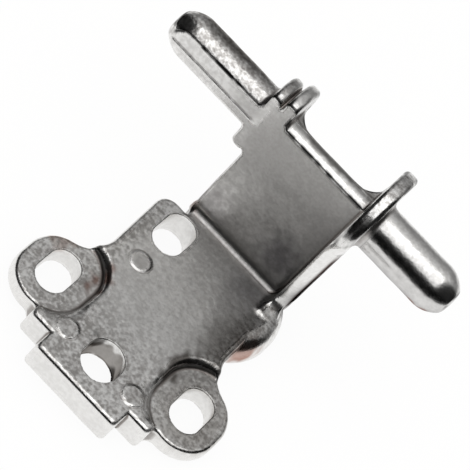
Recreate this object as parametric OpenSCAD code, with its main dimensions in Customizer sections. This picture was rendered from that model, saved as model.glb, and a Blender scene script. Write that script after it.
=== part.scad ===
// Middle door hinge for a two-door fridge, a single zinc die casting.
// The plate lies on its mounting face, the arm stands on it, and both pins lie along X.
// The origin is on the mounting face, midway between the two ear slots. Y runs up toward the pins.

/* [Mounting plate] */
// Thickness of the plate
plate_t = 5; // [4:0.25:7]
// Width of the plate between its ears
plate_w = 25.2; // [23:0.2:30]
// Distance from the pin axis to the lower edge of the foot
plate_reach = 45.4; // [42:0.2:56]
// Width of the foot at the lower edge
foot_w = 16.8; // [12:0.2:20]
// How far the foot stands out below the shoulders
foot_h = 3.7; // [2:0.1:6]
// Radius of the plate's corner beside the arm
plate_corner_r = 2.6; // [1:0.1:4]

/* [Screw ears] */
// Outer radius of each ear around its slot
ear_r = 6.1; // [5:0.1:7]
// Distance between the two ear slots
ear_spacing = 29.2; // [27:0.2:36]
// Distance from the foot's lower edge up to the ear slots
ear_rise = 14; // [12.5:0.1:17]
// How far the ears lie below the plate's front face
ear_drop = 1.3; // [0.5:0.1:2]
// Width of the adjusting slots
slot_w = 5.6; // [4.5:0.1:6.6]
// Length of the adjusting slots
slot_len = 9; // [7:0.1:10]
// Distance of the upper slot from the plate's centre line
upper_slot_x = 7.1; // [6:0.1:8]
// Distance from the pin axis to the upper slot
upper_slot_y = 10.1; // [9.8:0.1:13]
// Width of the locating slot in the foot
locating_w = 6.4; // [4:0.1:7.4]
// Length of the locating slot
locating_len = 8; // [7.5:0.1:8.6]

/* [Arm] */
// Height of the pin axis above the plate's front face
pin_rise = 22.9; // [20:0.1:30]
// Width of the arm over its rib
arm_w = 22.1; // [21:0.1:26]
// How far the middle of the arm lies beside the plate's centre line
arm_shift = 2.3; // [0:0.1:3]
// Thickness of the arm
arm_t = 3.2; // [2.6:0.1:4.5]
// Thickness of the rib along the arm's edge, and of the collar that it carries
rib_t = 2.6; // [2:0.1:3.5]
// How far the rib stands in front of the arm at the plate
rib_front = 1.9; // [1:0.1:4]
// Radius of the fillet between the arm and the plate
arm_fillet = 1.1; // [0.6:0.1:2]

/* [Pins] */
// Diameter of the upper pin, with the flat
upper_pin_d = 7.8; // [7:0.1:9]
// Length of the upper pin from its collar
upper_pin_len = 18.8; // [14:0.2:24]
// Diameter of the lower pin
lower_pin_d = 8.2; // [7:0.1:9]
// Length of the lower pin from its collar
lower_pin_len = 16.7; // [12:0.2:22]
// Distance from the pin axis to the flat on the upper pin
flat_depth = 3.1; // [2.9:0.05:3.4]
// Length of the rounded tip of each pin
tip_len = 4.2; // [3:0.1:5]
// Diameter of the small end face of each pin
tip_d = 3.8; // [2:0.1:5]

/* [Collars] */
// Radius of the outer collar of the upper pin
outer_collar_r = 7.1; // [6:0.1:7.6]
// Radius of the inner collar of the upper pin
inner_collar_r = 8.1; // [7.7:0.1:9]
// Thickness of each of the upper pin's collars
collar_t = 2; // [1.4:0.1:2.4]
// Width of the groove between these two collars
collar_gap = 0.5; // [0.3:0.1:0.8]
// Radius of the lower pin's collar
rib_collar_r = 9.5; // [8.5:0.1:10.5]

/* [Hidden] */
$fn = 64;
eps = 0.02;
cut = 60;

// Plate levels and edges. Y is drawn from the pin axis, and the finished casting is moved to its origin.
foot_y = -plate_reach;
shoulder_y = foot_y + foot_h;
side_x = plate_w / 2;
ear_x = ear_spacing / 2;
slot_y = foot_y + ear_rise;
slot_half = (slot_len - slot_w) / 2;
ear_lower = 0.55;
ear_y = slot_y - ear_lower;
ear_half = 1.15;
ear_fillet_r = 6;
ear_foot_fillet_r = 0.8;
ear_top = plate_t - ear_drop;
recess_r = ear_r + 0.15;
recess_slope = 0.8;
foot_corner_r = 0.9;
locating_rise = 7.1;
locating_y = foot_y + locating_rise;
plate_top_y = -4.8;
corner_out = 0.4;

// Arm edges and its crowned top
arm_x0 = arm_shift - arm_w / 2;
arm_x1 = arm_shift + arm_w / 2;
arm_front = -flat_depth;
arm_back = arm_front + arm_t;
arm_mid = arm_front + arm_t / 2;
pin_z = plate_t + pin_rise;
arm_above_axis = 3.2;
arm_edge_z = pin_z + arm_above_axis;
crown_share = 0.69;
crown_r = arm_t * crown_share;
crown_z = arm_edge_z - sqrt(crown_r * crown_r - arm_t * arm_t / 4);
heel_r = 2;

// The rib: its straight edges are tangents from the plate to the collar
rib_x0 = arm_x1 - rib_t;
rib_foot_front = arm_front - rib_front;
rib_foot_behind = 2.4;
rib_foot_back = arm_back + rib_foot_behind;
rib_foot_fillet = 2.6;
function tangent(point, radius, side) =
    let (span = norm(point))
    let (angle = atan2(point[1], point[0]) + side * acos(radius / span))
    [radius * cos(angle), radius * sin(angle)];
front_from = [rib_foot_front, -pin_rise];
back_from = [rib_foot_back, -pin_rise];
front_touch = tangent(front_from, rib_collar_r, -1);
back_touch = tangent(back_from, rib_collar_r, 1);
rib_lean = atan2(front_from[0] - front_touch[0], front_touch[1] - front_from[1]);
rib_corner = rib_foot_fillet / tan((90 - rib_lean) / 2);

// The web behind the arm that runs out to the collars in two fillets
web_r = 5;
web_depth = web_r + 0.2;
web_below = 5.5;

// Places along the pin axis, X to the lower pin
inner_extra = 0.2;
inner_x0 = arm_x0;
inner_x1 = inner_x0 + collar_t + inner_extra;
outer_x1 = inner_x0 - collar_gap;
outer_x0 = outer_x1 - collar_t;
groove_depth = 0.9;
groove_r = outer_collar_r - groove_depth;
collar_edge_r = 0.6;
root_r = 0.8;

// The rounded shoulder that carries the rib at the plate's edge
lobe_r = 11.2;
lobe_side_x = 15.7;
lobe_x = lobe_side_x - lobe_r;
lobe_y = -9.4;
lobe_edge_r = 3.2;
side_top_y = lobe_y - 1.5;

// Round pads that the ejector pins left on the front face
mark_r = 1.75;
mark_h = 0.15;
mark_rise = 6.5;
marks = [[-7.4, -19.2], [-7.1, foot_y + mark_rise], [6.9, foot_y + mark_rise]];

function arc(centre, radius, from, to, steps = 8) =
    [for (i = [0:steps]) centre + radius * [cos(from + (to - from) * i / steps),
                                            sin(from + (to - from) * i / steps)]];

// A slot or an ear: a round shape stretched along Y
module obround(radius, half) {
    translate([0, half]) circle(radius);
    translate([0, -half]) circle(radius);
    translate([-radius, -half]) square([2 * radius, 2 * half]);
}

// The material between an ear's round end and the plate's side, with a hollow corner.
// dir is 1 for the upper end of the right ear and -1 for its lower end.
module ear_corner(dir, radius) {
    end_y = ear_y + dir * ear_half;
    across = side_x + radius - ear_x;
    centre = [side_x + radius, end_y + dir * sqrt(pow(ear_r + radius, 2) - across * across)];
    difference() {
        polygon([[ear_x, end_y], centre, [side_x - 1, centre[1]], [side_x - 1, end_y]]);
        translate(centre) circle(radius);
    }
}

module ear_outline() {
    translate([ear_x, ear_y]) obround(ear_r, ear_half);
    ear_corner(1, ear_fillet_r);
    ear_corner(-1, ear_foot_fillet_r);
}

// Outline of the plate, seen from its front
module plate_outline() {
    r = plate_corner_r;
    c = foot_corner_r;
    top = concat(
        arc([-side_x - corner_out + r, plate_top_y - r], r, 180, 90),
        [[arm_x0, plate_top_y], [arm_x0, arm_back], [rib_x0, arm_back]],
        [[rib_x0, plate_top_y], [side_x, side_top_y]]);
    bottom = concat(
        arc([side_x - c, shoulder_y + c], c, 0, -90, 6),
        [[foot_w / 2, shoulder_y]],
        arc([foot_w / 2 - c, foot_y + c], c, 0, -90, 6),
        arc([-foot_w / 2 + c, foot_y + c], c, -90, -180, 6),
        [[-foot_w / 2, shoulder_y]],
        arc([-side_x + c, shoulder_y + c], c, -90, -180, 6));
    polygon(concat(top, bottom));
    ear_outline();
    mirror([1, 0]) ear_outline();
}

// The lowered seats of the two ears, cut from the front face with sloping walls
module ear_recess() {
    low = recess_r;
    high = recess_r + recess_slope;
    translate([ear_x, slot_y, ear_top]) {
        for (dir = [-1, 1])
            translate([0, dir * slot_half, 0]) cylinder(h = ear_drop, r1 = low, r2 = high);
        rotate([90, 0, 0])
            linear_extrude(2 * slot_half, center = true)
                polygon([[-low, 0], [low, 0], [high, ear_drop], [-high, ear_drop]]);
    }
    translate([side_x, ear_y - recess_r - ear_half, ear_top]) cube([cut, 2 * (recess_r + ear_half), cut]);
}

// A slot through the plate that runs along Y
module slot_cut(x, y, width, len) {
    translate([x, y, -1]) linear_extrude(cut) obround(width / 2, (len - width) / 2);
}

// A round shoulder with a well-rounded upper edge, cut off level with the arm's back
module lobe() {
    difference() {
        translate([lobe_x, lobe_y, 0])
            rotate_extrude() {
                square([lobe_r, plate_t - lobe_edge_r]);
                square([lobe_r - lobe_edge_r, plate_t]);
                intersection() {
                    translate([lobe_r - lobe_edge_r, plate_t - lobe_edge_r]) circle(lobe_edge_r);
                    square([lobe_r, plate_t]);
                }
            }
        translate([-cut, arm_back, -cut]) cube(2 * cut);
    }
}

// Turns a drawing of the side view, with Y across and Z up, into a wall from x0 to x1
module side_wall(x0, x1) {
    translate([x0, 0, 0]) rotate([90, 0, 90]) linear_extrude(x1 - x0) children();
}

// Section of the arm, with its rounded heel and its crowned top
module arm_section() {
    difference() {
        translate([arm_front, 0]) square([arm_t, crown_z]);
        difference() {
            translate([arm_back - heel_r, -eps]) square([heel_r + 1, heel_r + eps]);
            translate([arm_back - heel_r, heel_r]) circle(heel_r);
        }
    }
    intersection() {
        translate([arm_mid, crown_z]) circle(crown_r);
        translate([arm_front, crown_z - eps]) square([arm_t, crown_r + 1]);
    }
}

// Hollow fillet between the arm and the plate's front face
module arm_foot_fillet() {
    difference() {
        translate([arm_front - arm_fillet, plate_t - eps]) square([arm_fillet + eps, arm_fillet + eps]);
        translate([arm_front - arm_fillet, plate_t + arm_fillet]) circle(arm_fillet);
    }
}

// Side view of the rib with its collar
module rib_section() {
    translate([0, pin_z]) {
        circle(rib_collar_r, $fn = 128);
        polygon([front_from, front_touch, [0, 0], back_touch, back_from]);
    }
    translate([rib_foot_front, 0]) square([rib_foot_back - rib_foot_front, plate_t + eps]);
}

// Hollow fillet where the rib's front edge runs into the plate
module rib_foot_section() {
    centre = [rib_foot_front - rib_corner, plate_t + rib_foot_fillet];
    touch = [rib_foot_front, plate_t] + rib_corner * [-sin(rib_lean), cos(rib_lean)];
    difference() {
        polygon([[centre[0], plate_t - 1], [centre[0], plate_t], centre, touch,
                 [rib_foot_front + 1, plate_t + 1], [rib_foot_front + 1, plate_t - 1]]);
        translate(centre) circle(rib_foot_fillet);
    }
}

// Web behind the top of the arm, hollowed between the collars
module back_web() {
    x0 = inner_x1 - eps;
    x1 = rib_x0 + eps;
    translate([0, 0, pin_z - web_below])
        linear_extrude(arm_edge_z - pin_z + web_below)
            difference() {
                translate([x0, arm_back - eps]) square([x1 - x0, web_depth]);
                translate([x0 + web_r, arm_back + web_r]) circle(web_r);
                translate([x1 - web_r, arm_back + web_r]) circle(web_r);
                translate([x0 + web_r, arm_back]) square([x1 - x0 - 2 * web_r, web_depth + 1]);
            }
}

// Places a turned shape along the pin axis, with its own Z toward the lower pin
module on_axis(x) {
    translate([x, 0, pin_z]) rotate([0, 90, 0]) children();
}

// A pin from its collar to its tip, with a rounded tip and a hollow root
module pin(d, len) {
    r = d / 2;
    drop = r - tip_d / 2;
    tip_r = (tip_len * tip_len + drop * drop) / (2 * drop);
    translate([0, 0, -1]) cylinder(h = len - tip_len + 1, r = r);
    translate([0, 0, len - tip_len])
        rotate_extrude()
            intersection() {
                square([r, tip_len]);
                translate([r - tip_r, 0]) circle(tip_r, $fn = 128);
            }
    rotate_extrude()
        difference() {
            square([r + root_r, root_r]);
            translate([r + root_r, root_r]) circle(root_r);
        }
}

// A turned disc whose rim is rounded at both edges
module round_disc(radius, thick, edge) {
    rotate_extrude() {
        square([radius - edge, thick]);
        translate([0, edge]) square([radius, thick - 2 * edge]);
        for (z = [edge, thick - edge]) translate([radius - edge, z]) circle(edge);
    }
}

// The two collars at the upper pin, with a groove between them
module upper_collars() {
    on_axis(outer_x0) round_disc(outer_collar_r, outer_x1 - outer_x0, collar_edge_r);
    on_axis(outer_x1 - collar_t / 2) cylinder(h = collar_gap + collar_t, r = groove_r);
    on_axis(inner_x0) round_disc(inner_collar_r, inner_x1 - inner_x0, collar_edge_r);
}

module plate() {
    difference() {
        union() {
            linear_extrude(plate_t) plate_outline();
            lobe();
        }
        ear_recess();
        mirror([1, 0, 0]) ear_recess();
    }
    for (m = marks) translate([m[0], m[1], plate_t - eps]) cylinder(h = mark_h + eps, r = mark_r);
}

module arm() {
    side_wall(arm_x0, arm_x1) arm_section();
    side_wall(arm_x0, rib_x0 + eps) arm_foot_fillet();
    side_wall(rib_x0, arm_x1) rib_section();
    side_wall(rib_x0, arm_x1) rib_foot_section();
    back_web();
}

// Everything at the upper pin ends in one flat face, level with the arm's front
module upper_pin_end() {
    difference() {
        union() {
            upper_collars();
            on_axis(outer_x0) mirror([0, 0, 1]) pin(upper_pin_d, upper_pin_len);
        }
        translate([-cut, arm_front - cut, 0]) cube([2 * cut, cut, 2 * cut]);
    }
}

module lower_pin_end() {
    on_axis(arm_x1) pin(lower_pin_d, lower_pin_len);
}

module hinge_casting() {
    color("#9b9a98")
        translate([0, -slot_y, 0]) difference() {
            union() {
                plate();
                arm();
                upper_pin_end();
                lower_pin_end();
            }
            slot_cut(ear_x, slot_y, slot_w, slot_len);
            slot_cut(-ear_x, slot_y, slot_w, slot_len);
            slot_cut(-upper_slot_x, -upper_slot_y, slot_w, slot_len);
            slot_cut(0, locating_y, locating_w, locating_len);
        }
}

hinge_casting();
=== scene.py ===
import math

import bpy
import numpy as np
from mathutils import Matrix, Vector


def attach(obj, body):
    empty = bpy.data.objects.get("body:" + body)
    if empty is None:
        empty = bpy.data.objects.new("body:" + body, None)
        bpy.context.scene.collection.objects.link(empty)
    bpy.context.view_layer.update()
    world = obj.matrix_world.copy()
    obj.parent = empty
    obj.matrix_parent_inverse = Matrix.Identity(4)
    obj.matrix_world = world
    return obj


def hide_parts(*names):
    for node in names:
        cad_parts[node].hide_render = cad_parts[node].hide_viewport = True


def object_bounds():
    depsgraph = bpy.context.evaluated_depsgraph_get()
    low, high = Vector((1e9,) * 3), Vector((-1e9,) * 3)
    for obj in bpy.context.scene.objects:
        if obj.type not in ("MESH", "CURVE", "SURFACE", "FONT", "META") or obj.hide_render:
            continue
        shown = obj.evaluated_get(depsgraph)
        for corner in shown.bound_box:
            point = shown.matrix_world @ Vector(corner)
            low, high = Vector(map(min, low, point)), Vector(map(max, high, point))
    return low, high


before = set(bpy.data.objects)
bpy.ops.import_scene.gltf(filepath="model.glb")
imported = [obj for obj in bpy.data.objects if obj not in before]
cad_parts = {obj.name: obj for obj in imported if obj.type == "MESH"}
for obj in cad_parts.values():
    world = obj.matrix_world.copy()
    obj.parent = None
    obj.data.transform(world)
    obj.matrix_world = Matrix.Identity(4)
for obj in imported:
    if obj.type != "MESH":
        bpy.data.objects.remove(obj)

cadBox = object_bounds()
mm = 0.001
scene = bpy.context.scene
scene.view_settings.view_transform = "Standard"
print("frame loaded:", sorted(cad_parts))


# Helpers for meshes

def gridFaces(rows, columns, closedColumns=False):
    # quads between neighbouring rows and columns of a grid of points, as one array
    r = np.arange(rows - 1)[:, None]
    c = np.arange(columns if closedColumns else columns - 1)[None, :]
    after = (c + 1) % columns
    quad = [r * columns + c, r * columns + after, (r + 1) * columns + after, (r + 1) * columns + c]
    return np.stack(np.broadcast_arrays(*quad), axis=-1).reshape(-1, 4)


def makePiece(name, points, faces):
    # a mesh object at the origin from an array of points in metres and an array of quads
    mesh = bpy.data.meshes.new(name)
    mesh.from_pydata([], [], [])
    mesh.vertices.add(len(points))
    mesh.vertices.foreach_set("co", np.asarray(points, np.float32).ravel())
    mesh.loops.add(faces.size)
    mesh.loops.foreach_set("vertex_index", faces.ravel().astype(np.int32))
    mesh.polygons.add(len(faces))
    mesh.polygons.foreach_set("loop_start", np.arange(0, faces.size, faces.shape[1], dtype=np.int32))
    mesh.update(calc_edges=True)
    mesh.validate()
    mesh.shade_smooth()
    piece = bpy.data.objects.new(name, mesh)
    scene.collection.objects.link(piece)
    return piece


# Helpers for materials

def toLinear(hexColour):
    # the sRGB hex value as linear red, green, blue and alpha
    parts = [int(hexColour[i:i + 2], 16) / 255 for i in (1, 3, 5)]
    return [c / 12.92 if c <= 0.04045 else ((c + 0.055) / 1.055) ** 2.4 for c in parts] + [1.0]


def addNode(tree, kind, settings=None, links=None):
    # settings: names of properties, or of inputs with their values. links: input name or number to an output
    node = tree.nodes.new(kind)
    for key, value in (settings or {}).items():
        if isinstance(key, str) and hasattr(node, key):
            setattr(node, key, value)
        else:
            node.inputs[key].default_value = value
    for key, source in (links or {}).items():
        tree.links.new(source, node.inputs[key])
    return node


def newMaterial(name):
    material = bpy.data.materials.new(name)
    material.use_nodes = True
    material.node_tree.nodes.clear()
    return material, material.node_tree


# Camera, at the photo's place and roll

view = {
    "place": (11.9, -258.0, 304.2),  # mm
    "azimuth": 2.5,                  # degrees round the part, 0 is straight in front of the foot
    "elevation": 46.0,
    "roll": 44.46,                   # the picture is turned clockwise by this
    "focalPixels": 2623.0,
    "pictureSide": 470.0,
    "sensor": 36.0,
}


def makeCamera(v):
    a, e, r = (math.radians(v[k]) for k in ("azimuth", "elevation", "roll"))
    back = Vector((math.sin(a) * math.cos(e), -math.cos(a) * math.cos(e), math.sin(e)))
    level = Vector((math.cos(a), math.sin(a), 0))
    upright = back.cross(level)
    right = math.cos(r) * level + math.sin(r) * upright
    up = -math.sin(r) * level + math.cos(r) * upright
    data = bpy.data.cameras.new("camera")
    data.sensor_width = v["sensor"]
    data.lens = v["sensor"] * v["focalPixels"] / v["pictureSide"]
    data.clip_start = 0.01
    data.clip_end = 20
    camera = bpy.data.objects.new("camera", data)
    scene.collection.objects.link(camera)
    turn = Matrix((right, up, back)).transposed().to_4x4()
    camera.matrix_world = Matrix.Translation(Vector(v["place"]) * mm) @ turn
    scene.camera = camera


makeCamera(view)
print("camera placed")


# The casting

casting = {
    "cell": 0.28,           # mm between the points of the skin
    "axis": (31.4, 27.9),   # mm, Y and Z of the line through both pins
    "plateThickness": 5.0,
    "plateEdge": 0.8,       # mm, radius of the plate's worn front edges
    "footEdge": 0.35,       # radius of the edges round the mounting face
    "earUnderEdge": 1.5,    # the ears are rounder there
    "slotEdge": 0.14,
    "seatDepth": 1.3,       # how far the ears' seats lie below the front
    "seatRim": 0.6,         # how soft the step down to them is
    "padRadius": 1.75,
    "padHeight": 0.12,      # raised rounds left by the ejector pins
    "armFillet": 1.5,       # hollow corner between plate and arm
    "collarEdge": 0.85,     # the collars' rims are nearly half round
    "ribEdge": 0.8,         # round the large collar
    "ribNose": 3.4,         # the rib's outer edge, far rounder than its inner one
    "ribInside": 0.35,
    "lobeFill": 1.9,        # fills the groove of the double collar below the pin
    "lobeFillet": 1.1,
    "flatEdge": 0.15,       # the sharp lines round the flat of the upper pin
    "partingStep": 0.15,    # mm, where the die's halves met along that flat
    "pinRoot": 0.8,
    "swell": 0.012,         # mm, slow rise and fall of the cast faces
    "swellLength": 5.0,     # mm from crest to crest
    "peel": 0.003,          # mm, short dimples of the die's worn face
    "peelLength": 1.6,
}


def roundJoin(a, b, r):
    # distance to either of two bodies, with a hollow fillet of radius r where they meet
    return np.maximum(r, np.minimum(a, b)) - np.hypot(np.maximum(r - a, 0), np.maximum(r - b, 0))


def roundCut(a, b, r):
    # distance to what two bodies share, with an outer edge of radius r
    return np.minimum(-r, np.maximum(a, b)) + np.hypot(np.maximum(r + a, 0), np.maximum(r + b, 0))


def slab(x, low, high):
    # distance to the space between two planes
    return np.abs(x - (low + high) / 2) - (high - low) / 2


def obround(x, y, radius, half):
    # distance to a circle that is stretched along y by half on both sides
    return np.hypot(x, np.maximum(np.abs(y) - half, 0)) - radius


def ease(x, low, high):
    # 0 below low, 1 above high, and a smooth step between
    t = np.clip((x - low) / (high - low), 0, 1)
    return t * t * (3 - 2 * t)


def arcPoints(centre, radius, start, end, steps=8):
    turn = np.radians(np.linspace(start, end, steps + 1))
    return np.stack([centre[0] + radius * np.cos(turn), centre[1] + radius * np.sin(turn)], 1)


def makeOutline(corners, step=0.12, margin=4.0):
    # distance to a closed outline, below 0 inside it: worked out once on a fine table, then read between its points
    low, high = corners.min(0) - margin, corners.max(0) + margin
    a, b = (np.arange(low[k], high[k] + step, step) for k in (0, 1))
    u, v = np.meshgrid(a, b, indexing="ij")
    away = np.full(u.shape, np.inf)
    inside = np.zeros(u.shape, bool)
    for start, end in zip(corners, np.roll(corners, -1, 0)):
        side = end - start
        along = ((u - start[0]) * side[0] + (v - start[1]) * side[1]) / max(side @ side, 1e-12)
        along = np.clip(along, 0, 1)
        away = np.minimum(away, np.hypot(u - start[0] - along * side[0], v - start[1] - along * side[1]))
        level = (start[1] > v) != (end[1] > v)
        inside ^= level & (u < start[0] + side[0] * (v - start[1]) / (side[1] or 1.0))
    table = np.where(inside, -away, away)

    def distance(x, y):
        u = np.clip((x - low[0]) / step, 0, len(a) - 1.001)
        v = np.clip((y - low[1]) / step, 0, len(b) - 1.001)
        i, j = u.astype(int), v.astype(int)
        u, v = u - i, v - j
        return (table[i, j] * (1 - u) * (1 - v) + table[i + 1, j] * u * (1 - v)
                + table[i, j + 1] * (1 - u) * v + table[i + 1, j + 1] * u * v)

    return distance


def earCorners():
    # the right ear from the plate's side downward: a hollow corner, two round ends and a small hollow corner
    side, x, y, half, radius = 12.6, 14.6, -31.95, 1.15, 6.1
    parts = []
    for way, hollow in ((1, 6.0), (-1, 0.8)):
        across = side + hollow - x
        rise = math.sqrt((radius + hollow) ** 2 - across ** 2)
        lean = math.degrees(math.atan2(rise, across))
        corner = arcPoints((side + hollow, y + way * (half + rise)), hollow, 180, 180 + way * lean)
        end = arcPoints((x, y + way * half), radius, way * lean, 0, 16)
        parts += [corner, end] if way > 0 else [end[::-1], corner[::-1]]
    return np.concatenate(parts)


def plateCorners():
    # seen from the front, from the corner beside the arm clockwise round the foot; Y is taken from the pins
    ear = earCorners()
    return np.concatenate([
        arcPoints((-10.4, -7.4), 2.6, 180, 90),
        [(-8.45, -4.8), (-8.45, -2.0), (10.75, -2.0), (10.75, -4.8), (12.6, -10.9)],
        ear,
        arcPoints((11.7, -40.8), 0.9, 0, -90),
        [(8.4, -41.7)],
        arcPoints((7.5, -44.5), 0.9, 0, -90),
        arcPoints((-7.5, -44.5), 0.9, -90, -180),
        [(-8.4, -41.7)],
        arcPoints((-11.7, -40.8), 0.9, -90, -180),
        ear[::-1] * (-1, 1),
    ])


def armCorners():
    # side view of the arm: its crowned top and its rounded heel. The front is cut flat later
    return np.concatenate([
        [(-3.708, -1.0)],
        arcPoints((-1.5, 29.578), 2.208, 180, 43.6, 12),
        arcPoints((-1.9, 2.0), 2.0, 0, -90),
        [(-2.3, -1.0)],
    ])


def touch(point, radius, side):
    # where the line from the point touches a circle round 0, 0
    angle = math.atan2(point[1], point[0]) + side * math.acos(radius / math.hypot(*point))
    return np.array([radius * math.cos(angle), radius * math.sin(angle)])


def ribCorners():
    # side view of the rib: two straight tangents from the plate to the large collar, and a hollow foot in front
    front, back, collar, foot, axis = np.array([-5.0, -22.9]), np.array([2.5, -22.9]), 9.5, 2.6, 27.9
    frontTouch, backTouch = touch(front, collar, -1), touch(back, collar, 1)
    lean = math.atan2(front[0] - frontTouch[0], frontTouch[1] - front[1])
    centre = (front[0] - foot / math.tan((math.pi / 2 - lean) / 2), 5.0 + foot)
    up = np.array([0.0, axis])
    return np.concatenate([
        [(centre[0], 4.0)],
        arcPoints(centre, foot, -90, math.degrees(lean)),
        [frontTouch + up, up, backTouch + up, back + up, (2.5, 0.0), (-4.0, -1.0), (-4.0, 4.0)],
    ])


plateOutline, armOutline, ribOutline = (makeOutline(c) for c in (plateCorners(), armCorners(), ribCorners()))


def pinBody(x, rho, radius, straight, length, tipFlat):
    # distance to a pin that runs along x from 0: a cylinder, then an arc that closes in to a small flat end
    drop, tip = radius - tipFlat, length - straight
    arc = (tip * tip + drop * drop) / (2 * drop)
    side = np.where(x > straight, np.hypot(x - straight, rho - radius + arc) - arc, rho - radius)
    return roundCut(roundCut(side, x - length, 0.45), -1.5 - x, 0.1)


def plateBody(x, y, z, c):
    thick, wide = c["plateThickness"], np.abs(x)
    body = roundCut(plateOutline(x, y), z - thick, c["plateEdge"])
    floor = thick - c["seatDepth"]
    slope = 0.8 * np.clip((z - floor) / c["seatDepth"], 0, 1)
    beside = np.maximum(12.6 - wide, np.abs(y + 31.95) - 7.4)
    seat = np.minimum(obround(wide - 14.6, y + 31.4, 6.25, 1.7) - slope, beside)
    rim = c["seatRim"] + 0.3 * ease(wide, 18.5, 20.5) + 0.9 * ease(-y, 32, 36) * (1 - ease(wide, 10, 12))
    body = roundCut(body, -roundCut(seat, floor - z, 0.3), rim)
    for padX, padY in ((-7.4, -19.2), (-7.1, -38.9), (6.9, -38.9)):
        pad = roundCut(np.hypot(x - padX, y - padY) - c["padRadius"], z - thick - c["padHeight"], 0.14)
        body = roundJoin(body, pad, 0.4)
    shoulder = roundCut(np.hypot(x - 4.5, y + 9.4) - 11.2, z - thick, 3.2)
    return np.minimum(body, roundCut(shoulder, y + 0.2, 0.5))


def upperBody(x, y, z, rho, c):
    # the arm, the web behind it, the two collars with their groove and the upper pin, all cut off in one flat face
    edge = c["collarEdge"]
    small = roundCut(rho - 7.1, slab(x, -11.25, -9.25), edge)
    large = roundCut(rho - 8.1, slab(x, -8.75, -6.55), edge)
    core = roundCut(rho - 6.2, slab(x, -10.5, -7.5), 0.1)
    # the groove between them runs out toward their lower end
    filled = ease(c["axis"][1] - z, 0.5, 4.0)
    discs = roundJoin(np.minimum(small, large), core, 0.2 + c["lobeFill"] * filled)
    body = roundJoin(discs, pinBody(-11.25 - x, rho, 3.9, 14.6, 18.8, 1.9), c["pinRoot"])
    arm = roundCut(armOutline(y, z), slab(x, -8.75, 12.3), 0.3)
    body = roundJoin(body, arm, (0.6 + c["lobeFillet"] * filled) * ease(x, -8.2, -7.4))
    hollow = np.hypot(np.maximum(np.abs(x - 2.1) - 3.65, 0), np.minimum(y - 5.1, 0)) - 5.0
    web = np.maximum(slab(x, -6.75, 10.95), slab(y, -0.5, 5.3))
    web = roundCut(roundCut(web, -hollow, 0.3), slab(z, 22.4, 31.1), 0.6)
    body = roundJoin(body, web, 0.5)
    step = c["partingStep"] * ease(z, 27.1, 27.6) * (1 - ease(x, -11.5, -9.5))
    return roundCut(body, -3.1 + step - y, c["flatEdge"])


def castingField(x, y, z, c=casting):
    # distance in mm from a point to the casting's skin, below 0 inside the metal
    y = y - c["axis"][0]
    rho = np.hypot(y, z - c["axis"][1])
    upper = upperBody(x, y, z, rho, c)
    rib = np.minimum(rho - 9.5, ribOutline(y, z))
    onRib = 1 - ease(z, 24, 30)
    lower = roundCut(rib, x - 13.35, c["ribEdge"] + (c["ribNose"] - c["ribEdge"]) * onRib)
    lower = roundCut(lower, 10.75 - x, c["ribEdge"] + (c["ribInside"] - c["ribEdge"]) * onRib)
    lower = roundJoin(lower, pinBody(x - 13.35, rho, 4.1, 12.5, 16.7, 1.9), c["pinRoot"])
    body = roundJoin(upper, lower, 0.4)
    fillet = (0.35 + (c["armFillet"] - 0.35) * ease(z, 3.8, 4.8)) * ease(-y, 1.0, 2.0)
    body = roundJoin(body, plateBody(x, y, z, c), fillet)
    ear = ease(np.abs(x), 12.6, 14.2) * ease(-y, 22, 26)
    body = roundCut(body, -z, c["footEdge"] + (c["earUnderEdge"] - c["footEdge"]) * ear)
    slots = np.minimum(obround(np.abs(x) - 14.6, y + 31.4, 2.8, 1.7), obround(x + 7.1, y + 10.1, 2.8, 1.7))
    slots = np.minimum(slots, obround(x, y + 38.3, 3.2, 0.8))
    return roundCut(body, -slots, c["slotEdge"])


def waveSum(x, y, z, length, seed, waves=12):
    # a sum of sine waves in random directions, each about length from crest to crest, between about -1 and 1
    rng = np.random.default_rng(seed)
    way = rng.normal(size=(waves, 3))
    way /= np.linalg.norm(way, axis=1)[:, None]
    way *= 2 * math.pi / (length * rng.uniform(0.7, 1.6, waves))[:, None]
    phase = rng.uniform(0, 2 * math.pi, waves)
    return sum(np.sin(x * way[k, 0] + y * way[k, 1] + z * way[k, 2] + phase[k]) for k in range(waves)) / math.sqrt(waves / 2)


def skinField(points, c=casting):
    # the casting's field with the unevenness of its cast faces
    x, y, z = points.T
    uneven = c["swell"] * waveSum(x, y, z, c["swellLength"], 3) + c["peel"] * waveSum(x, y, z, c["peelLength"], 8, 20)
    return castingField(x, y, z) - uneven


def slopeOf(field, points, step):
    # which way the field rises fastest, from its values on both sides of each point
    return np.stack([(field(points + step * way) - field(points - step * way)) / (2 * step) for way in np.eye(3)], 1)


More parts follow.
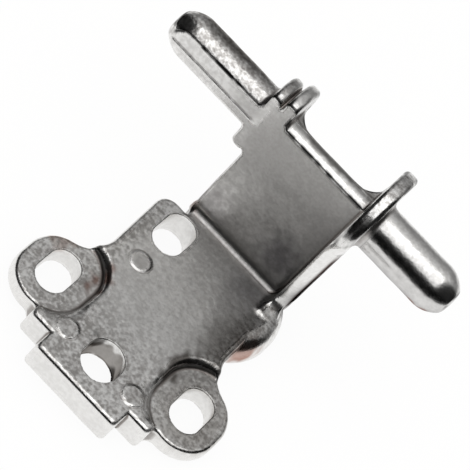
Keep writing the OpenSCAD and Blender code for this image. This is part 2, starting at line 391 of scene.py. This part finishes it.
def skinOf(field, axes):
    # one quad for each grid line that crosses the skin, between the four cells round that line.
    # A cell's point is the mean of the places where the cell's own lines cross the skin
    values = field(*np.meshgrid(*axes, indexing="ij", sparse=True)).astype(np.float32)
    inside = values < 0
    shape = np.array(values.shape)
    corners = np.array([(i, j, k) for i in (0, 1) for j in (0, 1) for k in (0, 1)])
    cellShape = shape - 1
    count = np.zeros(cellShape, np.int8)
    for i, j, k in corners:
        count += inside[i:i + cellShape[0], j:j + cellShape[1], k:k + cellShape[2]]
    cells = np.argwhere((count > 0) & (count < 8))
    number = np.full(cellShape, -1, np.int32)
    number[tuple(cells.T)] = np.arange(len(cells))
    total, crossings = np.zeros((len(cells), 3)), np.zeros(len(cells))
    for p in range(8):
        for q in range(p + 1, 8):
            if np.abs(corners[p] - corners[q]).sum() == 1:
                a, b = (values[tuple((cells + corners[m]).T)] for m in (p, q))
                crossed = (a < 0) != (b < 0)
                share = np.where(crossed, a / np.where(crossed, a - b, 1), 0)
                total += crossed[:, None] * (cells + corners[p] + share[:, None] * (corners[q] - corners[p]))
                crossings += crossed
    step = np.array([axis[1] - axis[0] for axis in axes])
    points = np.array([axis[0] for axis in axes]) + step * total / crossings[:, None]
    faces = []
    for k in range(3):
        u, v = np.eye(3, dtype=int)[(k + 1) % 3], np.eye(3, dtype=int)[(k + 2) % 3]
        near = [slice(1, -1)] * 3
        far = list(near)
        near[k], far[k] = slice(0, -1), slice(1, None)
        first, second = inside[tuple(near)], inside[tuple(far)]
        for spots, turned in ((np.argwhere(first & ~second), False), (np.argwhere(~first & second), True)):
            spots = spots + 1 - np.eye(3, dtype=int)[k]
            ring = [number[tuple((spots - off).T)] for off in (u + v, v, 0 * u, u)]
            faces.append(np.stack(ring[::-1] if turned else ring, 1))
    return points, np.concatenate(faces)


stainsAndPaintedLight = [
    # middle in mm from the foot's frame, reach along X, Y and Z in mm, tint, share at the middle, how soft its edge
    # is. Most are painted shade or painted reflection; the others tint the metal itself
    ((22, 28.5, 11), (34, 4, 27), "#5e5b5e", 0.85, 1.0),          # painted shade: the arm darker toward its lower right corner
    # painted shade, bluish, on the arm's lower right by its corner with the plate
    ((7, 28.5, 11), (6, 4, 7), "#706c78", 0.6, 1.0),
    # painted shade: the arm darker toward the plate
    ((0, 28, 4), (16, 4, 15), "#a09d9c", 0.45, 1.0),
    ((11, 13, 5), (6.5, 13, 2.5), "#77726e", 0.65, 0.8),          # painted shade on the plate's right side, beside the rib's foot
    ((14, 15, 3), (3.5, 5, 3), "#b4826f", 0.7, 0.6),            # painted warm reflection on the round shoulder beside the rib
    # painted shade on the arm's left, dimming its reflection of the white table
    ((-7.5, 28.3, 9), (5, 3, 8), "#a5a1a3", 0.5, 1.0),
    ((2.1, 32.2, 31.1), (9.5, 3.3, 1.6), "#6e6a66", 0.6, 0.25),  # painted shade on the web's back half
    ((27, 29, 24.5), (4, 3, 2), "#c49c8e", 0.6, 0.5),           # painted warm reflection under the lower pin
    ((-21, 33.2, 28), (11, 4.7, 6), "#b2b0ae", 1.0, 0.3),       # the round side of the upper pin
    ((-9.6, 4, 4.6), (2.2, 5, 1.6), "#8a6050", 0.85, 0.6),      # painted shade on the steps down to the seats
    ((8.6, 3, 4.6), (2.6, 6, 1.6), "#6c6560", 0.85, 0.6),
    ((15, -1, 3.4), (8, 9, 1.6), "#b8b4af", 0.6, 0.6),          # the right seat
    ((0, -6.9, 1.9), (6, 7, 2.95), "#8a8581", 1.0, 0.2),        # painted shade on the locating slot's wall
    # painted shade: dark spots low and high at the locating slot's far end
    ((2.5, -4.2, 0.5), (1.8, 2.2, 1.8), "#2e2b29", 0.95, 0.6),
    ((-2.7, -4.4, 3.8), (1.9, 2.2, 1.5), "#4a4643", 0.9, 0.6),
    # painted warm reflection at the left end of the arm's corner with the plate
    ((-8, 29, 5.5), (3, 2, 2), "#a8887a", 0.5, 0.6),
    ((-18, 5, 4), (3, 3, 2), "#b89a8c", 0.5, 0.6),
]
ribEdgeShade = "#4a342c"      # painted shade: the dark brown line along the rib's outer edge


def stainsAndPaintedLightOf(points, bend):
    # the share of light that each point keeps in red, green and blue: under the stain, painted shade and painted
    # reflections listed above, and under painted dark lines along sharp edges
    ragged = 0.35 * waveSum(*points.T, 2.0, 21)
    kept = np.ones((len(points), 3))
    for middle, reach, tint, share, soft in stainsAndPaintedLight:
        away = np.linalg.norm((points - middle) / reach, axis=1) + ragged / np.mean(reach)
        cover = (share * ease(1 - away, 0, soft) * (1 - 0.6 * ease(-bend, 0.1, 0.6)))[:, None]
        kept *= 1 - cover * (1 - np.array(toLinear(tint)[:3]))
    # painted shade along the rib's outer edge: that edge leans back as it rises, and the dark line is 1 to 3 mm wide
    x, y, z = points.T
    line = np.abs(y + 0.2 * z - 29.4 + 0.6 * ragged)
    ribEdgeShadeShare = 0.88 * ease(x, 12.6, 13.15) * (1 - ease(line, 0.5, 1.6)) * ease(z, 2, 5) * (1 - ease(z, 21, 26))
    kept *= 1 - ribEdgeShadeShare[:, None] * (1 - np.array(toLinear(ribEdgeShade)[:3]))
    # painted dark reflection: ragged dark lines along sharp edges from the pins' height up, round the flat face of the
    # upper pin and the arm
    paintedDarkArris = ease(bend, 0.9, 1.9) * ease(z, 27.5, 29) * ease(ragged, -0.45, 0.15)
    return kept * (1 - 0.93 * paintedDarkArris[:, None])


def grainOf(points, normals):
    # how coarse the cast grain is: most on the foot's lower end, the seats and the pins, least on side walls
    x, y, z = points.T
    foot = ease(normals[:, 2], 0.5, 0.9) * np.maximum(0.3 + 0.7 * ease(6 - y, 0, 12), ease(np.abs(x), 8, 11))
    pins = ease(-x, 11, 12) * ease(y, 28.4, 28.9) * ease(z, 20, 22)
    lowerPin = ease(x, 13.3, 14) * ease(z, 20, 22)
    arm = 0.2 * ease(y, 25, 28) * ease(z, 5, 8) * (1 - lowerPin)
    coarse = np.maximum(np.maximum(foot * (1 - 0.75 * lowerPin), pins), arm)
    return 0.15 + 0.85 * coarse


def makeCasting(c):
    low, high = np.array(cadBox[0]) / mm, np.array(cadBox[1]) / mm
    axes = [np.arange(low[k] - 2.25 * c["cell"], high[k] + 2.4 * c["cell"], c["cell"]) for k in range(3)]
    points, faces = skinOf(castingField, axes)
    for i in range(3):
        # each point slides along the slope onto the skin
        slope = slopeOf(skinField, points, 0.04)
        size = np.maximum((slope * slope).sum(1), 0.25)
        points = points - slope * np.clip(skinField(points) / size, -0.1, 0.1)[:, None]
    points = np.clip(points, low, high)
    piece = makePiece("hingeCasting", points * mm, faces)
    normals = slopeOf(skinField, points, 0.06)
    normals /= np.maximum(np.linalg.norm(normals, axis=1), 1e-9)[:, None]
    piece.data.normals_split_custom_set_from_vertices(normals.tolist())
    # bend: the field's own curvature, above 0 on outer edges and below 0 in hollow corners, per mm
    reach = 0.35
    centre = castingField(*points.T)
    bend = sum(castingField(*(points + reach * side * way).T) - centre for way in np.eye(3) for side in (1, -1)) / reach ** 2
    for name, values in (("bend", bend), ("grainy", grainOf(points, normals))):
        layer = piece.data.attributes.new(name, "FLOAT", "POINT")
        layer.data.foreach_set("value", values.astype(np.float32))
    # per point: painted shade, painted reflection and stain tints
    paintedLightAndStains = np.ones((len(points), 4), np.float32)
    paintedLightAndStains[:, :3] = stainsAndPaintedLightOf(points, bend)
    layer = piece.data.attributes.new("paintedLightAndStains", "FLOAT_COLOR", "POINT")
    layer.data.foreach_set("color", paintedLightAndStains.ravel())
    return piece


hinge = makeCasting(casting)
print("casting made:", len(hinge.data.polygons), "faces")


# Lamps and surroundings

studio = {
    "softboxHeight": 600.0,    # mm above the table
    "softboxFront": 51.0,      # degrees above the horizon on the camera's side, where its near edge hangs
    "softboxBack": 106.0,      # its far edge, past straight up
    "softboxWidth": 500.0,     # mm
    "softboxGlow": 1.0,        # how bright its cloth is, where 1 is white
    "roomRadius": 950.0,       # mm
    # the room's tone by degrees: 0 is the horizon behind the camera, 90 is overhead
    # and 180 the horizon beyond the part
    "roomTones": [
        (-28, "#dadada"), (-12, "#a8a8a8"), (-2, "#808080"), (8, "#5a5a5a"), (17, "#484848"), (27, "#4c4c4c"),
        (34, "#7c7c7c"), (42, "#a8a8a8"), (50, "#c4c4c4"), (108, "#dcdcdc"), (118, "#d2d2d2"), (130, "#bababa"),
        (148, "#949494"), (165, "#828282"), (180, "#a0a0a0"),
    ],
    "tableSide": 250.0,        # mm
    "tableGlow": 0.92,         # how much of the table's white is free of shadow
    "skyTone": "#f6f6f6",      # what lights the shaded sides of things
}


def makeSoftbox(s):
    # the near and far edges are given as angles seen from the part
    height = s["softboxHeight"]
    near, far = (-height / math.tan(math.radians(s[k])) for k in ("softboxFront", "softboxBack"))
    data = bpy.data.lights.new("softbox", "AREA")
    data.shape = "RECTANGLE"
    data.size, data.size_y = s["softboxWidth"] * mm, (far - near) * mm
    data.energy = s["softboxGlow"] * math.pi * data.size * data.size_y
    lamp = bpy.data.objects.new("softbox", data)
    scene.collection.objects.link(lamp)
    lamp.location = (0, (near + far) / 2 * mm, height * mm)
    lamp.visible_camera = False


def makeRoom(s):
    # a dome round the table: u goes round it, v goes up it. Only light and reflections meet it
    u = np.radians(np.linspace(0, 360, 49)[:-1])[None, :]
    v = np.radians(np.linspace(s["roomTones"][0][0], 89.5, 25))[:, None]
    radius = s["roomRadius"] * mm
    points = radius * np.stack(np.broadcast_arrays(np.cos(v) * np.sin(u), -np.cos(v) * np.cos(u), np.sin(v)), -1)
    room = makePiece("room", points.reshape(-1, 3), gridFaces(25, 48, True)[:, ::-1])
    material, tree = newMaterial("roomWalls")
    spot = addNode(tree, "ShaderNodeTexCoord").outputs["Object"]
    part = addNode(tree, "ShaderNodeSeparateXYZ", {}, {0: spot})
    toCamera = addNode(tree, "ShaderNodeMath", {"operation": "MULTIPLY", 1: -1.0}, {0: part.outputs["Y"]})
    angle = addNode(tree, "ShaderNodeMath", {"operation": "ARCTAN2"}, {0: part.outputs["Z"], 1: toCamera.outputs[0]})
    low, high = s["roomTones"][0][0], s["roomTones"][-1][0]
    share = addNode(tree, "ShaderNodeMapRange", {"From Min": math.radians(low), "From Max": math.radians(high)}, {"Value": angle.outputs[0]})
    tones = addNode(tree, "ShaderNodeValToRGB", {}, {0: share.outputs[0]})
    stops = tones.color_ramp.elements
    for k, (degrees, tone) in enumerate(s["roomTones"]):
        place = (degrees - low) / (high - low)
        stop = stops[k] if k == 0 else stops[-1] if place == 1 else stops.new(place)
        stop.color = toLinear(tone)
    sideways = addNode(tree, "ShaderNodeMath", {"operation": "ABSOLUTE"}, {0: part.outputs["X"]})
    aside = addNode(tree, "ShaderNodeMath", {"operation": "MULTIPLY_ADD", 1: -0.6}, {0: part.outputs["Y"], 2: sideways.outputs[0]})
    dim = addNode(tree, "ShaderNodeMapRange", {"interpolation_type": "SMOOTHSTEP", "From Min": 0.26 * radius, "From Max": 0.5 * radius,
                                               "To Min": 1.0, "To Max": 0.03}, {"Value": aside.outputs[0]})
    glow = addNode(tree, "ShaderNodeEmission", {}, {"Color": tones.outputs[0], "Strength": dim.outputs[0]})
    addNode(tree, "ShaderNodeOutputMaterial", {}, {"Surface": glow.outputs[0]})
    room.data.materials.append(material)
    room.visible_camera = False
    room.visible_shadow = False
    room.visible_diffuse = False


def seenDirectly(tree, share):
    # share for rays from the camera, from gloss and through glass, 0 for the light that falls on things
    path = addNode(tree, "ShaderNodeLightPath")
    either = addNode(tree, "ShaderNodeMath", {"operation": "ADD"}, {0: path.outputs["Is Camera Ray"], 1: path.outputs["Is Glossy Ray"]})
    seen = addNode(tree, "ShaderNodeMath", {"operation": "ADD", "use_clamp": True}, {0: either.outputs[0], 1: path.outputs["Is Transmission Ray"]})
    return addNode(tree, "ShaderNodeMath", {"operation": "MULTIPLY", 1: share}, {0: seen.outputs[0]}).outputs[0]


def makeTable(s):
    # a flat white card that looks white, also in the metal, and keeps some of the part's shadow
    side = np.linspace(-0.5, 0.5, 12) * s["tableSide"] * mm
    x, y = np.meshgrid(side, side)
    points = np.stack([x, y + 0.013, np.full_like(x, -0.00005)], -1).reshape(-1, 3)
    table = makePiece("table", points, gridFaces(12, 12))
    material, tree = newMaterial("whiteCard")
    card = addNode(tree, "ShaderNodeBsdfDiffuse", {"Color": toLinear("#f2f1ef")})
    glow = addNode(tree, "ShaderNodeEmission", {"Color": (1, 1, 1, 1), "Strength": 1.0})
    mix = addNode(tree, "ShaderNodeMixShader", {}, {0: seenDirectly(tree, s["tableGlow"]), 1: card.outputs[0], 2: glow.outputs[0]})
    addNode(tree, "ShaderNodeOutputMaterial", {}, {"Surface": mix.outputs[0]})
    table.data.materials.append(material)


def makeWorld(s):
    world = bpy.data.worlds.new("studio")
    scene.world = world
    world.use_nodes = True
    tree = world.node_tree
    tree.nodes.clear()
    room = addNode(tree, "ShaderNodeBackground", {"Color": toLinear(s["skyTone"]), "Strength": 1.0})
    white = addNode(tree, "ShaderNodeBackground", {"Color": (1, 1, 1, 1), "Strength": 1.0})
    mix = addNode(tree, "ShaderNodeMixShader", {}, {0: seenDirectly(tree, 1.0), 1: room.outputs[0], 2: white.outputs[0]})
    addNode(tree, "ShaderNodeOutputWorld", {}, {"Surface": mix.outputs[0]})


makeSoftbox(studio)
makeRoom(studio)
makeTable(studio)
makeWorld(studio)
print("studio set")


# The metal

zinc = {
    "colour": "#edecea",
    "dull": "#a9a6a3",     # the darker grey of its duller specks
    "hollow": "#8d8783",   # hollow corners: metal that tumbling doesn't reach, darkened further as painted shade
    "roughness": 0.34,     # of the flat faces
    "polished": 0.22,      # of edges and pins, where tumbling rubs most
    "grain": 0.3,          # mm across one grain of the cast skin
    "grainDepth": 0.03,    # mm
    "pit": 0.48,           # mm across its larger dimples
    "pitDepth": 0.055,      # mm
}


def makeZinc(z):
    # zinc alloy, pressure die cast and tumbled: a pale warm grey metal with a fine grain that breaks up its gloss
    material, tree = newMaterial("tumbledZincCasting")
    spot = addNode(tree, "ShaderNodeTexCoord").outputs["Object"]
    bend = addNode(tree, "ShaderNodeAttribute", {"attribute_name": "bend"}).outputs["Fac"]
    grain = addNode(tree, "ShaderNodeTexNoise", {"Scale": 0.5 / (z["grain"] * mm), "Detail": 1.0}, {"Vector": spot})
    pits = addNode(tree, "ShaderNodeTexNoise", {"Scale": 0.5 / (z["pit"] * mm), "Detail": 2.0, "Roughness": 0.6}, {"Vector": spot})
    patches = addNode(tree, "ShaderNodeTexNoise", {"Scale": 1 / (9 * mm), "Detail": 1.0}, {"Vector": spot})
    fine = addNode(tree, "ShaderNodeMath", {"operation": "ADD"}, {0: grain.outputs[0], 1: pits.outputs[0]})
    mixed = addNode(tree, "ShaderNodeMath", {"operation": "MULTIPLY_ADD", 1: 0.5}, {0: patches.outputs[0], 2: fine.outputs[0]})
    grainy = addNode(tree, "ShaderNodeAttribute", {"attribute_name": "grainy"}).outputs["Fac"]
    specks = addNode(tree, "ShaderNodeMapRange", {"From Min": 1.5, "From Max": 1.05},
                     {"Value": mixed.outputs[0]})
    dull = addNode(tree, "ShaderNodeMath", {"operation": "MULTIPLY"}, {0: specks.outputs[0], 1: grainy})
    tone = addNode(tree, "ShaderNodeMix", {"data_type": "RGBA", 6: toLinear(z["colour"]), 7: toLinear(z["dull"])}, {0: dull.outputs[0]})
    # hollow corners turn the darker grey: unpolished metal and painted shade there
    hollow = addNode(tree, "ShaderNodeMapRange", {"From Min": -0.3, "From Max": -1.6}, {"Value": bend})
    matte = addNode(tree, "ShaderNodeMix", {"data_type": "RGBA", 7: toLinear(z["hollow"])},
                    {0: hollow.outputs[0], 6: tone.outputs[2]})
    # painted shade, painted reflection and stain, multiplied into the metal's colour
    paintedLightAndStains = addNode(tree, "ShaderNodeAttribute", {"attribute_name": "paintedLightAndStains"}).outputs["Color"]
    colour = addNode(tree, "ShaderNodeMix", {"data_type": "RGBA", "blend_type": "MULTIPLY", 0: 1.0},
                     {6: matte.outputs[2], 7: paintedLightAndStains})
    rubbed = addNode(tree, "ShaderNodeMapRange", {"From Min": 0.03, "From Max": 0.2}, {"Value": bend}).outputs[0]
    even = addNode(tree, "ShaderNodeMapRange", {"To Min": z["roughness"], "To Max": z["polished"]}, {"Value": rubbed})
    uneven = addNode(tree, "ShaderNodeMapRange", {"From Min": 1.55, "From Max": 0.95, "To Min": -0.02, "To Max": 0.05}, {"Value": mixed.outputs[0]})
    worn = addNode(tree, "ShaderNodeMath", {"operation": "ADD"}, {0: even.outputs[0], 1: uneven.outputs[0]})
    sharp = addNode(tree, "ShaderNodeMapRange", {"From Min": 1.7, "From Max": 2.6}, {"Value": bend}).outputs[0]
    rough = addNode(tree, "ShaderNodeMath", {"operation": "MULTIPLY_ADD", 1: 0.2}, {0: sharp, 2: worn.outputs[0]})
    rugged = addNode(tree, "ShaderNodeMapRange", {"To Min": 0.12, "To Max": 1.15}, {"Value": grainy})
    pitted = addNode(tree, "ShaderNodeMapRange", {"To Min": 0.15}, {"Value": rubbed, "To Max": rugged.outputs[0]})
    dimples = addNode(tree, "ShaderNodeBump", {"Distance": z["pitDepth"] * mm}, {"Height": pits.outputs[0], "Strength": pitted.outputs[0]})
    bump = addNode(tree, "ShaderNodeBump", {"Distance": z["grainDepth"] * mm},
                   {"Height": grain.outputs[0], "Strength": rugged.outputs[0], "Normal": dimples.outputs[0]})
    metal = addNode(tree, "ShaderNodeBsdfPrincipled", {"Metallic": 1.0},
                    {"Base Color": colour.outputs[2], "Specular Tint": paintedLightAndStains,
                     "Roughness": rough.outputs[0], "Normal": bump.outputs[0]})
    addNode(tree, "ShaderNodeOutputMaterial", {}, {"Surface": metal.outputs[0]})
    return material


zincCasting = makeZinc(zinc)
hinge.data.materials.clear()
hinge.data.materials.append(zincCasting)
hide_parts("hinge_casting")
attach(hinge, "root")
print("metal laid on")
